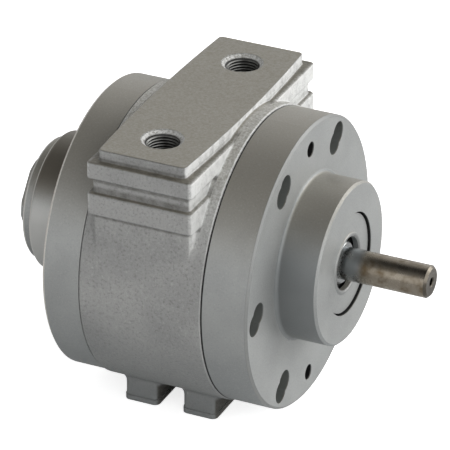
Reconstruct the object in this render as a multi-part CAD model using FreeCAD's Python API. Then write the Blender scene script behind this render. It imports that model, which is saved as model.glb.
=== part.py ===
import FreeCAD, Part
import math
import os
from FreeCAD import Vector

# Vane air motor. Millimetres. +X runs out along the drive shaft, +Z is up,
# and the origin is the centre of the front boss's end face, on the shaft axis.

# Stack along the shaft, from the boss's end face to the rear.
BOSS_LENGTH = 25.1
FRONT_PLATE_THICKNESS = 27.7
GASKET_THICKNESS = 0.5
BODY_LENGTH = 75.5
REAR_PLATE_THICKNESS = 23.2
REAR_HUB_LENGTH = 32.0
CAP_FLANGE_LENGTH = 6.3
CAP_COLLAR_LENGTH = 1.5
CAP_HEX_LENGTH = 4.5

# Outer radii. The body stands a little proud of the plates, and its bore leaves one wall all round.
PLATE_RADIUS = 86.0
BODY_OVERHANG = 0.8
BODY_WALL = 24.8
BOSS_RADIUS = 48.1
REAR_HUB_RADIUS = 41.4
CAP_FLANGE_RADIUS = 36.5
CAP_COLLAR_RADIUS = 27.2
CAP_HEX_CORNER_RADIUS = 28.5
CAP_HEX_TURN = 52.0
GASKET_SETBACK = 0.7
GASKET_BORE_MARGIN = 2.0

# Edge breaks of the turned and cast pieces.
PLATE_CHAMFER = 1.3
BODY_CHAMFER = 0.7
BOSS_CHAMFER = 1.3
BOSS_BASE_FILLET = 2.5
HUB_EDGE_FILLET = 2.5
CAP_CHAMFER = 1.0

# The shaft runs above the body's axis, so that the rotor seals against the top of the bore.
ECCENTRICITY = 4.9
ROTOR_TOP_GAP = 0.3
ROTOR_SIDE_GAP = 0.3

# Port block on top of the body: a slab on two ribs, and the core that stands back behind them.
# It rises above the barrel, and its ribs stop short of the barrel's sides and ends.
BLOCK_RISE = 2.7
BLOCK_SETBACK = 0.9
RIB_SIDE_SETBACK = 2.8
RIB_END_SETBACK = 5.45
SLAB_LENGTH_STEP = 4.3
SLAB_WIDTH_STEP = 5.7
SLAB_BOW = 2.6
SLAB_THICKNESS = 6.9
UPPER_RIB_HEIGHT = 10.3
GROOVE_HEIGHT = 8.8
LOWER_RIB_HEIGHT = 13.6
CORE_STEP = 2.4
BLOCK_CORNER_RADIUS = 2.6
RIB_EDGE_FILLET = 1.2
SLAB_EDGE_FILLET = 0.8
CORE_ROOT_FILLET = 4.0
RIB_ROOT_FILLET = 1.1

# Ports: half-inch taper pipe threads, cut from the top down into the bore.
PORT_BORE_MARGIN = 1.6
PORT_TAP_RADIUS = 9.3
PORT_MOUTH_RADIUS = 12.4
PORT_MOUTH_DEPTH = 2.6
PORT_TAP_DEPTH = 22.0
PASSAGE_RADIUS = 7.5

# Feet under the body, which hold the barrel clear of the floor.
FOOT_RISE = 5.3
FOOT_HALF_LENGTH = 42.0
FOOT_WIDTH = 20.8
FOOT_PITCH = 37.0
FOOT_SETBACK = 2.8
FOOT_FILLET = 4.5
FOOT_CORNER_RADIUS = 3.0
FOOT_PAD_HEIGHT = 3.2
FOOT_PAD_STEP = 0.5
FOOT_TAP_RADIUS = 4.1
FOOT_TAP_DEPTH = 16.0
FOOT_TAP_SPACING = 68.0

# Socket head screws that hold the plates, and the pockets that sink their heads.
SCREW_COUNT = 6
SCREW_RIM_DISTANCE = 13.4
SCREW_RADIUS = 3.97
SCREW_LENGTH = 31.75
SCREW_HEAD_RADIUS = 5.95
SCREW_HEAD_HEIGHT = 7.94
SCREW_SOCKET_WIDTH = 6.35
SCREW_SOCKET_DEPTH = 4.0
SCREW_HOLE_CLEARANCE = 0.5
SCREW_TAP_CLEARANCE = 0.05
SCREW_TAP_SPARE = 2.0
SCREW_SEAT_THICKNESS = 8.6
POCKET_RADIUS = 7.0
POCKET_LOBE_Y = 2.3
POCKET_LOBE_Z = 2.1
JACK_HOLE_RADIUS = 4.65
DOWEL_RADIUS = 3.0
DOWEL_HALF_LENGTH = 8.0
DOWEL_CLEARANCE = 0.02
DOWEL_ANGLE = 30.0

# Drive shaft.
SHAFT_RADIUS = 9.525
SHAFT_OUTER_LENGTH = 50.1
SHAFT_TIP_CHAMFER = 1.4
SHAFT_TIP_HOLE_RADIUS = 2.5
SHAFT_TIP_HOLE_DEPTH = 14.0
SHAFT_TIP_SINK_RADIUS = 3.2
JOURNAL_RADIUS = 12.5
JOURNAL_SETBACK = 3.1
JOURNAL_BORE_CLEARANCE = 0.5
ROTOR_SEAT_RADIUS = 14.0
SHAFT_REAR_OVERHANG = 4.0

# Ball bearings, 25 x 52 x 15.
BEARING_OUTER_RADIUS = 26.0
BEARING_WIDTH = 15.0
BALL_RADIUS = 3.97
BALL_COUNT = 9
BALL_CLEARANCE = 0.08
LAND_GAP = 5.7
CAGE_GAP = 0.9
CAGE_WIDTH = 10.4
RACE_CHAMFER = 0.8
FRONT_BEARING_DEPTH = 16.0
REAR_BEARING_DEPTH = 7.2

# Front seal stack: retaining ring, lip seal and the flat cover ring in the boss's recess.
RECESS_STEP = 4.4
RECESS_DEPTH = 4.6
COVER_RIM_GAP = 1.1
COVER_THICKNESS = 3.0
COVER_OPENING_RADIUS = 15.8
COVER_BEAD_RADIUS = 1.4
COVER_SPIGOT_LENGTH = 1.9
COVER_SPIGOT_WALL = 3.0
CIRCLIP_THICKNESS = 1.6
CIRCLIP_WIDTH = 3.4
CIRCLIP_SEAT_DEPTH = 1.3
CIRCLIP_GAP_ANGLE = 26.0
CIRCLIP_GROOVE_PLAY = 0.1
SEAL_WIDTH = 7.0
SEAL_WALL = 1.4
SEAL_GAP = 0.4
SEAL_RUNNING_CLEARANCE = 0.05

# Rear cap and what it presses on.
CAP_SPIGOT_STEP = 2.0
CAP_SPIGOT_CLEARANCE = 0.05
CAP_SPIGOT_LENGTH = 4.2
CAP_THREAD_DEPTH = 4.8
CAP_HOLLOW_RADIUS = 19.0
CAP_HOLLOW_DEPTH = 8.0
CAP_SEAL_THICKNESS = 1.8
CAP_SEAL_PLAY = 0.1
SPRING_BORE_PLAY = 0.4
SPRING_WIDTH = 3.2
SPRING_THICKNESS = 0.6
SPRING_WAVES = 3
SPRING_END_GAP = 0.1

# Rotor, vanes and the pins that push opposite vanes apart.
VANE_COUNT = 4
VANE_THICKNESS = 6.0
VANE_HEIGHT = 32.0
VANE_TIP_FILLET = 2.5
VANE_CLEARANCE = 0.1
VANE_TIP_SETBACK = 0.5
VANE_END_GAP = 0.1
SLOT_BOTTOM_GAP = 1.0
ROTOR_RELIEF_RADIUS = 32.0
ROTOR_RELIEF_DEPTH = 0.8
PUSH_PIN_RADIUS = 2.5
PUSH_PIN_CLEARANCE = 0.05
PUSH_PIN_END_GAP = 0.1
PUSH_PIN_OFFSETS = (14.0, 24.0)

# Margins of the cuts, and the sizes by which edges are told apart.
OVERCUT = 1.0
EDGE_TOLERANCE = 0.01
PROBE_STEP = 0.05
SMOOTH_LIMIT = 0.9

# Stations along the shaft.
X_PLATE_FACE = -BOSS_LENGTH
X_PLATE_BACK = X_PLATE_FACE - FRONT_PLATE_THICKNESS
X_BODY_FRONT = X_PLATE_BACK - GASKET_THICKNESS
X_BODY_REAR = X_BODY_FRONT - BODY_LENGTH
X_REAR_FRONT = X_BODY_REAR - GASKET_THICKNESS
X_REAR_BACK = X_REAR_FRONT - REAR_PLATE_THICKNESS
X_HUB_END = X_REAR_BACK - REAR_HUB_LENGTH
X_FLANGE_END = X_HUB_END - CAP_FLANGE_LENGTH
X_COLLAR_END = X_FLANGE_END - CAP_COLLAR_LENGTH
X_CAP_END = X_COLLAR_END - CAP_HEX_LENGTH
X_BODY_MIDDLE = (X_BODY_FRONT + X_BODY_REAR) / 2
X_BLOCK = X_BODY_MIDDLE - BLOCK_SETBACK
X_FEET = X_BODY_MIDDLE - FOOT_SETBACK
X_ROTOR_FRONT = X_PLATE_BACK - ROTOR_SIDE_GAP
X_ROTOR_REAR = X_REAR_FRONT + ROTOR_SIDE_GAP
X_FRONT_BEARING = -FRONT_BEARING_DEPTH
X_REAR_BEARING = X_HUB_END + REAR_BEARING_DEPTH + BEARING_WIDTH

# Radii and heights that follow from the sizes above. Heights are above the body's axis.
BODY_Z = -ECCENTRICITY
BODY_RADIUS = PLATE_RADIUS + BODY_OVERHANG
BORE_RADIUS = BODY_RADIUS - BODY_WALL
SCREW_CIRCLE_RADIUS = PLATE_RADIUS - SCREW_RIM_DISTANCE
ROTOR_RADIUS = BORE_RADIUS - ECCENTRICITY - ROTOR_TOP_GAP
JOURNAL_BORE_RADIUS = JOURNAL_RADIUS + JOURNAL_BORE_CLEARANCE
GROOVE_RADIUS = BEARING_OUTER_RADIUS + CIRCLIP_SEAT_DEPTH
RECESS_RADIUS = BEARING_OUTER_RADIUS + RECESS_STEP
COVER_RADIUS = RECESS_RADIUS - COVER_RIM_GAP
CAP_SPIGOT_RADIUS = BEARING_OUTER_RADIUS + CAP_SPIGOT_STEP
BALL_PITCH_RADIUS = (BEARING_OUTER_RADIUS + JOURNAL_RADIUS) / 2
OUTER_LAND_RADIUS = BALL_PITCH_RADIUS + LAND_GAP / 2
INNER_LAND_RADIUS = BALL_PITCH_RADIUS - LAND_GAP / 2
CAGE_OUTER_RADIUS = OUTER_LAND_RADIUS - CAGE_GAP
CAGE_INNER_RADIUS = INNER_LAND_RADIUS + CAGE_GAP
SPRING_OUTER_RADIUS = BEARING_OUTER_RADIUS - SPRING_BORE_PLAY
SPRING_INNER_RADIUS = SPRING_OUTER_RADIUS - SPRING_WIDTH
BLOCK_TOP = BODY_RADIUS + BLOCK_RISE
SLAB_LOW = BLOCK_TOP - SLAB_THICKNESS
UPPER_RIB_LOW = SLAB_LOW - UPPER_RIB_HEIGHT
LOWER_RIB_TOP = UPPER_RIB_LOW - GROOVE_HEIGHT
LOWER_RIB_LOW = LOWER_RIB_TOP - LOWER_RIB_HEIGHT
RIB_HALF_LENGTH = BODY_RADIUS - RIB_SIDE_SETBACK
RIB_HALF_WIDTH = BODY_LENGTH / 2 - RIB_END_SETBACK
CORE_HALF_LENGTH = RIB_HALF_LENGTH - CORE_STEP
CORE_HALF_WIDTH = RIB_HALF_WIDTH - CORE_STEP
SLAB_HALF_LENGTH = RIB_HALF_LENGTH - SLAB_LENGTH_STEP
SLAB_HALF_WIDTH = RIB_HALF_WIDTH - SLAB_WIDTH_STEP
PORT_Y = BORE_RADIUS - PASSAGE_RADIUS - PORT_BORE_MARGIN
FLOOR_Z = BODY_Z - BODY_RADIUS - FOOT_RISE


def bar(radius, x_from, x_to, y=0.0, z=0.0):
    """Round bar along X between two stations."""
    low = min(x_from, x_to)
    return Part.makeCylinder(radius, abs(x_to - x_from), Vector(low, y, z), Vector(1, 0, 0))


def ring(outer_radius, inner_radius, x_from, x_to, z=0.0):
    """Round ring along X between two stations."""
    hole = bar(inner_radius, min(x_from, x_to) - OVERCUT, max(x_from, x_to) + OVERCUT, 0.0, z)
    return bar(outer_radius, x_from, x_to, 0.0, z).cut(hole)


def block(x_low, x_high, y_low, y_high, z_low, z_high):
    """Box between two corners."""
    size = (x_high - x_low, y_high - y_low, z_high - z_low)
    return Part.makeBox(*size, Vector(x_low, y_low, z_low))


def turned(profile, z=0.0):
    """Solid turned about the X direction from (x, radius) points."""
    points = [Vector(x, 0, z + radius) for x, radius in profile]
    face = Part.Face(Part.makePolygon(points + points[:1]))
    return face.revolve(Vector(0, 0, z), Vector(1, 0, 0), 360)


def on_circle(count, radius, first_angle=0.0, z=0.0):
    """Centres (y, z) evenly spaced on a circle about an axis along X."""
    places = []
    for index in range(count):
        angle = math.radians(first_angle + 360.0 * index / count)
        places.append((radius * math.cos(angle), z + radius * math.sin(angle)))
    return places


def spun(shape, angle):
    """Copy of a shape turned about the shaft axis."""
    copy = shape.copy()
    copy.rotate(Vector(0, 0, 0), Vector(1, 0, 0), angle)
    return copy


def edges_where(shape, test):
    """Edges whose centre of mass and bounding box satisfy a test."""
    return [edge for edge in shape.Edges if test(edge.CenterOfMass, edge.BoundBox)]


def rings_at(shape, x, radius):
    """Circular edges of one radius about the shaft axis at one station."""
    def matches(centre, box):
        flat = abs(box.XMin - x) < EDGE_TOLERANCE and abs(box.XMax - x) < EDGE_TOLERANCE
        return flat and abs(box.ZMax - radius) < EDGE_TOLERANCE and abs(box.ZMin + radius) < EDGE_TOLERANCE
    return edges_where(shape, matches)


def is_inner_corner(shape, edge):
    """Whether the two faces at an edge meet in an inner corner, as at the root of a rib."""
    faces = shape.ancestorsOfType(edge, Part.Face)
    if len(faces) != 2:
        return False
    middle = edge.valueAt((edge.FirstParameter + edge.LastParameter) / 2)
    normals = [face.normalAt(*face.Surface.parameter(middle)) for face in faces]
    if normals[0].dot(normals[1]) > SMOOTH_LIMIT:
        return False
    step = (normals[0] - normals[1]) * PROBE_STEP
    return all(shape.isInside(middle + side * step, PROBE_STEP / 100, False) for side in (-1, 1))


def inner_corners(shape, z_low, z_high):
    """Edges of a shape at inner corners between two heights."""
    inside = edges_where(shape, lambda centre, box: z_low < box.ZMin and box.ZMax < z_high)
    return [edge for edge in inside if is_inner_corner(shape, edge)]


def screw_places():
    """Centres of the plate screws."""
    return on_circle(SCREW_COUNT, SCREW_CIRCLE_RADIUS, 0.0, BODY_Z)


def dowel_places():
    """Centres of the two dowels at each joint."""
    return on_circle(2, SCREW_CIRCLE_RADIUS, DOWEL_ANGLE, BODY_Z)


def jack_places():
    """Centres of the two tapped jacking holes, at the top and bottom of the plates."""
    return on_circle(2, SCREW_CIRCLE_RADIUS, 90.0, BODY_Z)


def screw_pocket(x_face, x_seat, y, z):
    """Pocket of two overlapping bores that sinks a screw head, with the screw's clearance hole."""
    outward = math.copysign(OVERCUT, x_face - x_seat)
    lower = bar(POCKET_RADIUS, x_seat, x_face + outward, y - POCKET_LOBE_Y, z - POCKET_LOBE_Z)
    upper = bar(POCKET_RADIUS, x_seat, x_face + outward, y + POCKET_LOBE_Y, z + POCKET_LOBE_Z)
    through = x_seat - math.copysign(SCREW_SEAT_THICKNESS + OVERCUT, outward)
    shank = bar(SCREW_RADIUS + SCREW_HOLE_CLEARANCE, x_seat, through, y, z)
    return lower.fuse([upper, shank])


def plate_holes(x_face, x_seat, x_joint):
    """Everything bored parallel to the shaft through one end plate."""
    cuts = [screw_pocket(x_face, x_seat, y, z) for y, z in screw_places()]
    outward = math.copysign(OVERCUT, x_face - x_joint)
    for y, z in jack_places():
        cuts.append(bar(JACK_HOLE_RADIUS, x_joint - outward, x_face + outward, y, z))
    depth = math.copysign(DOWEL_HALF_LENGTH, outward)
    for y, z in dowel_places():
        cuts.append(bar(DOWEL_RADIUS + DOWEL_CLEARANCE, x_joint - outward, x_joint + depth, y, z))
    return cuts


def front_end_plate():
    """Front plate with the boss that carries the front bearing and the seal."""
    rim = PLATE_RADIUS - PLATE_CHAMFER
    disc = turned([
        (X_PLATE_BACK, 0),
        (X_PLATE_BACK, PLATE_RADIUS),
        (X_PLATE_FACE - PLATE_CHAMFER, PLATE_RADIUS),
        (X_PLATE_FACE, rim),
        (X_PLATE_FACE, 0),
    ], BODY_Z)
    boss = turned([
        (X_PLATE_BACK, 0),
        (X_PLATE_BACK, BOSS_RADIUS),
        (-BOSS_CHAMFER, BOSS_RADIUS),
        (0, BOSS_RADIUS - BOSS_CHAMFER),
        (0, 0),
    ])
    plate = disc.fuse(boss).removeSplitter()
    plate = plate.makeFillet(BOSS_BASE_FILLET, rings_at(plate, X_PLATE_FACE, BOSS_RADIUS))
    x_seat = X_PLATE_BACK + SCREW_SEAT_THICKNESS
    x_shoulder = X_FRONT_BEARING - BEARING_WIDTH
    cuts = plate_holes(X_PLATE_FACE, x_seat, X_PLATE_BACK)
    cuts.append(bar(RECESS_RADIUS, -RECESS_DEPTH, OVERCUT))
    cuts.append(bar(BEARING_OUTER_RADIUS, x_shoulder, OVERCUT))
    groove_low = X_FRONT_BEARING - CIRCLIP_GROOVE_PLAY
    groove_high = X_FRONT_BEARING + CIRCLIP_THICKNESS + CIRCLIP_GROOVE_PLAY
    cuts.append(bar(GROOVE_RADIUS, groove_low, groove_high))
    cuts.append(bar(JOURNAL_BORE_RADIUS, X_PLATE_BACK - OVERCUT, x_shoulder + OVERCUT))
    return plate.cut(cuts)


def rear_end_plate():
    """Rear plate with the stepped hub that carries the rear bearing."""
    disc = turned([
        (X_REAR_FRONT, 0),
        (X_REAR_FRONT, PLATE_RADIUS),
        (X_REAR_BACK + PLATE_CHAMFER, PLATE_RADIUS),
        (X_REAR_BACK, PLATE_RADIUS - PLATE_CHAMFER),
        (X_REAR_BACK, 0),
    ], BODY_Z)
    plate = disc.fuse(bar(REAR_HUB_RADIUS, X_REAR_FRONT, X_HUB_END)).removeSplitter()
    plate = plate.makeFillet(BOSS_BASE_FILLET, rings_at(plate, X_REAR_BACK, REAR_HUB_RADIUS))
    plate = plate.makeFillet(HUB_EDGE_FILLET, rings_at(plate, X_HUB_END, REAR_HUB_RADIUS))
    x_seat = X_REAR_FRONT - SCREW_SEAT_THICKNESS
    cuts = plate_holes(X_REAR_BACK, x_seat, X_REAR_FRONT)
    cuts.append(bar(BEARING_OUTER_RADIUS, X_HUB_END - OVERCUT, X_REAR_BEARING))
    cuts.append(bar(CAP_SPIGOT_RADIUS, X_HUB_END - OVERCUT, X_HUB_END + CAP_THREAD_DEPTH))
    seal_radius = CAP_SPIGOT_RADIUS + CAP_SEAL_THICKNESS + 2 * CAP_SEAL_PLAY
    cuts.append(bar(seal_radius, X_HUB_END - OVERCUT, X_HUB_END + CAP_SEAL_THICKNESS + CAP_SEAL_PLAY))
    cuts.append(bar(JOURNAL_BORE_RADIUS, X_REAR_BEARING - OVERCUT, X_REAR_FRONT + OVERCUT))
    return plate.cut(cuts)


def side_edge(start, end, bow):
    """One long side of a slab's outline, which bows out along X by the given amount."""
    if not bow:
        return Part.makeLine(start, end)
    middle = (start + end) / 2 + Vector(bow, 0, 0)
    return Part.Arc(start, middle, end).toShape()


def block_layer(half_width, half_length, bow, z_low, z_high, fillet):
    """Rounded slab of the port block; its long sides bow out by the given amount."""
    z = BODY_Z + z_low
    quarters = ((-1, -1), (1, -1), (1, 1), (-1, 1))
    corners = [Vector(X_BLOCK + side * half_width, end * half_length, z) for side, end in quarters]
    outline = Part.Wire([
        Part.makeLine(corners[0], corners[1]),
        side_edge(corners[1], corners[2], bow),
        Part.makeLine(corners[2], corners[3]),
        side_edge(corners[3], corners[0], -bow),
    ])
    height = z_high - z_low
    layer = Part.Face(outline).extrude(Vector(0, 0, height))
    upright = edges_where(layer, lambda centre, box: box.ZLength > height - EDGE_TOLERANCE)
    layer = layer.makeFillet(BLOCK_CORNER_RADIUS, upright)
    level = edges_where(layer, lambda centre, box: box.ZLength < EDGE_TOLERANCE)
    return layer.makeFillet(fillet, level)


def upright_block(half_x, half_y, x_centre, z_low, z_high, corner_radius):
    """Block about one station and the middle plane, with rounded upright edges."""
    solid = block(x_centre - half_x, x_centre + half_x, -half_y, half_y, z_low, z_high)
    height = z_high - z_low
    upright = edges_where(solid, lambda centre, box: box.ZLength > height - EDGE_TOLERANCE)
    return solid.makeFillet(corner_radius, upright)


def core_root():
    """Foot of the block's core, up to the middle of the lower rib."""
    top = BODY_Z + (LOWER_RIB_LOW + LOWER_RIB_TOP) / 2
    return upright_block(CORE_HALF_WIDTH, CORE_HALF_LENGTH, X_BLOCK, BODY_Z, top, BLOCK_CORNER_RADIUS)


def port_block():
    """Ported block on top of the body: slab, two ribs and the core behind them."""
    core_top = SLAB_LOW - OVERCUT
    return [
        block_layer(SLAB_HALF_WIDTH, SLAB_HALF_LENGTH, SLAB_BOW, UPPER_RIB_LOW, BLOCK_TOP, SLAB_EDGE_FILLET),
        block_layer(CORE_HALF_WIDTH, CORE_HALF_LENGTH, 0, LOWER_RIB_LOW, core_top, SLAB_EDGE_FILLET),
        block_layer(RIB_HALF_WIDTH, RIB_HALF_LENGTH, 0, UPPER_RIB_LOW, SLAB_LOW, RIB_EDGE_FILLET),
        block_layer(RIB_HALF_WIDTH, RIB_HALF_LENGTH, 0, LOWER_RIB_LOW, LOWER_RIB_TOP, RIB_EDGE_FILLET),
    ]


def foot(x_centre):
    """One cast foot, and the slightly proud machined pad under it."""
    half = FOOT_WIDTH / 2
    stem = upright_block(half, FOOT_HALF_LENGTH, x_centre, FLOOR_Z, BODY_Z - BORE_RADIUS, FOOT_CORNER_RADIUS)
    pad = upright_block(half + FOOT_PAD_STEP, FOOT_HALF_LENGTH + FOOT_PAD_STEP, x_centre, FLOOR_Z,
                        FLOOR_Z + FOOT_PAD_HEIGHT, FOOT_CORNER_RADIUS + FOOT_PAD_STEP)
    return stem, pad


def body_shell():
    """Cast outside of the body: barrel, feet and port block, with blended roots."""
    barrel = turned([
        (X_BODY_REAR, 0),
        (X_BODY_REAR, BODY_RADIUS - BODY_CHAMFER),
        (X_BODY_REAR + BODY_CHAMFER, BODY_RADIUS),
        (X_BODY_FRONT - BODY_CHAMFER, BODY_RADIUS),
        (X_BODY_FRONT, BODY_RADIUS - BODY_CHAMFER),
        (X_BODY_FRONT, 0),
    ], BODY_Z)
    feet = [foot(X_FEET + side * FOOT_PITCH / 2) for side in (-1, 1)]
    shell = barrel.fuse([stem for stem, pad in feet] + [core_root()]).removeSplitter()
    shell = shell.makeFillet(FOOT_FILLET, inner_corners(shell, FLOOR_Z, BODY_Z))
    shell = shell.makeFillet(CORE_ROOT_FILLET, inner_corners(shell, BODY_Z, BODY_Z + BLOCK_TOP))
    shell = shell.fuse([pad for stem, pad in feet] + port_block()).removeSplitter()
    return shell.makeFillet(RIB_ROOT_FILLET, inner_corners(shell, BODY_Z, BODY_Z + BLOCK_TOP))


def upright_bar(radius, x, y, z_low, z_high):
    """Round bar along Z between two heights."""
    return Part.makeCylinder(radius, z_high - z_low, Vector(x, y, z_low), Vector(0, 0, 1))


def port_cut(y):
    """Mouth, tapped bore and passage of one port."""
    top = BODY_Z + BLOCK_TOP
    mouth = Part.makeCone(PORT_TAP_RADIUS, PORT_MOUTH_RADIUS, PORT_MOUTH_DEPTH,
                          Vector(X_BLOCK, y, top - PORT_MOUTH_DEPTH), Vector(0, 0, 1))
    tapped = upright_bar(PORT_TAP_RADIUS, X_BLOCK, y, top - PORT_TAP_DEPTH, top)
    low = BODY_Z + math.sqrt(BORE_RADIUS ** 2 - (abs(y) + PASSAGE_RADIUS) ** 2) - OVERCUT
    passage = upright_bar(PASSAGE_RADIUS, X_BLOCK, y, low, top)
    return mouth.fuse([tapped, passage])


def joint_holes(x_end, inward):
    """Tapped holes and dowel holes in one end of the body."""
    start = x_end - inward * OVERCUT
    grip = SCREW_LENGTH - SCREW_SEAT_THICKNESS - GASKET_THICKNESS + SCREW_TAP_SPARE
    reach = DOWEL_HALF_LENGTH + OVERCUT
    tap_radius = SCREW_RADIUS + SCREW_TAP_CLEARANCE
    pin_radius = DOWEL_RADIUS + DOWEL_CLEARANCE
    taps = [bar(tap_radius, start, x_end + inward * grip, y, z) for y, z in screw_places()]
    pins = [bar(pin_radius, start, x_end + inward * reach, y, z) for y, z in dowel_places()]
    return taps + pins


def foot_holes():
    """Tapped holes up into the feet."""
    holes = []
    for side_x in (-1, 1):
        for side_y in (-1, 1):
            x = X_FEET + side_x * FOOT_PITCH / 2
            y = side_y * FOOT_TAP_SPACING / 2
            holes.append(upright_bar(FOOT_TAP_RADIUS, x, y, FLOOR_Z - OVERCUT, FLOOR_Z + FOOT_TAP_DEPTH))
    return holes


def body_housing():
    """Body casting with its bore, ports, tapped holes and dowel holes."""
    cuts = [bar(BORE_RADIUS, X_BODY_REAR - OVERCUT, X_BODY_FRONT + OVERCUT, 0.0, BODY_Z)]
    cuts += [port_cut(side * PORT_Y) for side in (-1, 1)]
    cuts += joint_holes(X_BODY_FRONT, -1) + joint_holes(X_BODY_REAR, 1) + foot_holes()
    return body_shell().cut(cuts)


def gasket(x_from, x_to):
    """Flat gasket between the body and one plate, with holes for the screws and dowels."""
    outer = PLATE_RADIUS - GASKET_SETBACK
    sheet = ring(outer, BORE_RADIUS + GASKET_BORE_MARGIN, x_from, x_to, BODY_Z)
    low = min(x_from, x_to) - OVERCUT
    high = max(x_from, x_to) + OVERCUT
    cuts = [bar(SCREW_RADIUS + SCREW_HOLE_CLEARANCE, low, high, y, z) for y, z in screw_places()]
    cuts += [bar(DOWEL_RADIUS + SCREW_HOLE_CLEARANCE, low, high, y, z) for y, z in dowel_places()]
    return sheet.cut(cuts)


def hexagon(corner_radius, x_from, x_to, y, z, turn=0.0):
    """Hexagonal bar along X."""
    points = []
    for index in range(6):
        angle = math.radians(turn + 360.0 * index / 6)
        arm = Vector(0, math.cos(angle), math.sin(angle)) * corner_radius
        points.append(Vector(x_from, y, z) + arm)
    face = Part.Face(Part.makePolygon(points + points[:1]))
    return face.extrude(Vector(x_to - x_from, 0, 0))


def socket_screw(x_seat, inward, y, z):
    """Socket head cap screw whose head seats at x_seat; inward is the way its shank points."""
    x_top = x_seat - inward * SCREW_HEAD_HEIGHT
    head = bar(SCREW_HEAD_RADIUS, x_seat, x_top, y, z)
    shank = bar(SCREW_RADIUS, x_seat, x_seat + inward * SCREW_LENGTH, y, z)
    corner = SCREW_SOCKET_WIDTH / math.sqrt(3)
    socket = hexagon(corner, x_top - inward * OVERCUT, x_top + inward * SCREW_SOCKET_DEPTH, y, z)
    return head.fuse(shank).removeSplitter().cut(socket)


def screw_set(x_seat, inward):
    """The six screws of one plate."""
    return Part.makeCompound([socket_screw(x_seat, inward, y, z) for y, z in screw_places()])


def dowel_set(x_plate, x_body):
    """The two dowels that locate one plate on the body."""
    inward = math.copysign(1, x_body - x_plate)
    x_from = x_plate - inward * (DOWEL_HALF_LENGTH - OVERCUT)
    x_to = x_body + inward * DOWEL_HALF_LENGTH
    return Part.makeCompound([bar(DOWEL_RADIUS, x_from, x_to, y, z) for y, z in dowel_places()])


def drive_shaft():
    """Stepped shaft: output end, journals and the seat of the rotor."""
    x_end = X_REAR_BEARING - BEARING_WIDTH - SHAFT_REAR_OVERHANG
    shaft = turned([
        (x_end, 0),
        (x_end, JOURNAL_RADIUS - RACE_CHAMFER),
        (x_end + RACE_CHAMFER, JOURNAL_RADIUS),
        (X_ROTOR_REAR, JOURNAL_RADIUS),
        (X_ROTOR_REAR, ROTOR_SEAT_RADIUS),
        (X_ROTOR_FRONT, ROTOR_SEAT_RADIUS),
        (X_ROTOR_FRONT, JOURNAL_RADIUS),
        (-JOURNAL_SETBACK - RACE_CHAMFER, JOURNAL_RADIUS),
        (-JOURNAL_SETBACK, JOURNAL_RADIUS - RACE_CHAMFER),
        (-JOURNAL_SETBACK, SHAFT_RADIUS),
        (SHAFT_OUTER_LENGTH - SHAFT_TIP_CHAMFER, SHAFT_RADIUS),
        (SHAFT_OUTER_LENGTH, SHAFT_RADIUS - SHAFT_TIP_CHAMFER),
        (SHAFT_OUTER_LENGTH, 0),
    ])
    sink = SHAFT_TIP_SINK_RADIUS - SHAFT_TIP_HOLE_RADIUS
    tip_hole = turned([
        (SHAFT_OUTER_LENGTH + OVERCUT, 0),
        (SHAFT_OUTER_LENGTH + OVERCUT, SHAFT_TIP_SINK_RADIUS),
        (SHAFT_OUTER_LENGTH, SHAFT_TIP_SINK_RADIUS),
        (SHAFT_OUTER_LENGTH - sink, SHAFT_TIP_HOLE_RADIUS),
        (SHAFT_OUTER_LENGTH - SHAFT_TIP_HOLE_DEPTH, SHAFT_TIP_HOLE_RADIUS),
        (SHAFT_OUTER_LENGTH - SHAFT_TIP_HOLE_DEPTH - SHAFT_TIP_HOLE_RADIUS, 0),
    ])
    groove_front = rear_clip_front() + CIRCLIP_GROOVE_PLAY
    groove_rear = rear_clip_front() - CIRCLIP_THICKNESS - CIRCLIP_GROOVE_PLAY
    groove = ring(JOURNAL_RADIUS + OVERCUT, JOURNAL_RADIUS - CIRCLIP_SEAT_DEPTH / 2, groove_front, groove_rear)
    return shaft.cut([tip_hole, groove] + pin_holes(2 * ROTOR_SEAT_RADIUS))


def rear_clip_front():
    """Station where the rear retaining ring bears on the rear bearing."""
    return X_REAR_BEARING - BEARING_WIDTH


def pin_line(pair):
    """Angle of one pair of opposite vanes."""
    return 180.0 / VANE_COUNT + pair * 360.0 / VANE_COUNT


def pin_stations(pair):
    """Stations of the two push pins between one pair of opposite vanes."""
    middle = (X_ROTOR_FRONT + X_ROTOR_REAR) / 2
    return [middle + side * PUSH_PIN_OFFSETS[pair] for side in (-1, 1)]


def cross_bar(radius, length, x, angle):
    """Round bar that crosses the shaft axis at right angles."""
    upright = Part.makeCylinder(radius, length, Vector(x, -length / 2, 0), Vector(0, 1, 0))
    return spun(upright, angle)


def pin_holes(length):
    """Cross holes for the push pins."""
    holes = []
    for pair in range(VANE_COUNT // 2):
        for x in pin_stations(pair):
            holes.append(cross_bar(PUSH_PIN_RADIUS + PUSH_PIN_CLEARANCE, length, x, pin_line(pair)))
    return holes


def vane_foot_radius():
    """Distance from the shaft axis to the inner edge of a retracted vane."""
    return ROTOR_RADIUS - VANE_TIP_SETBACK - VANE_HEIGHT


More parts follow.
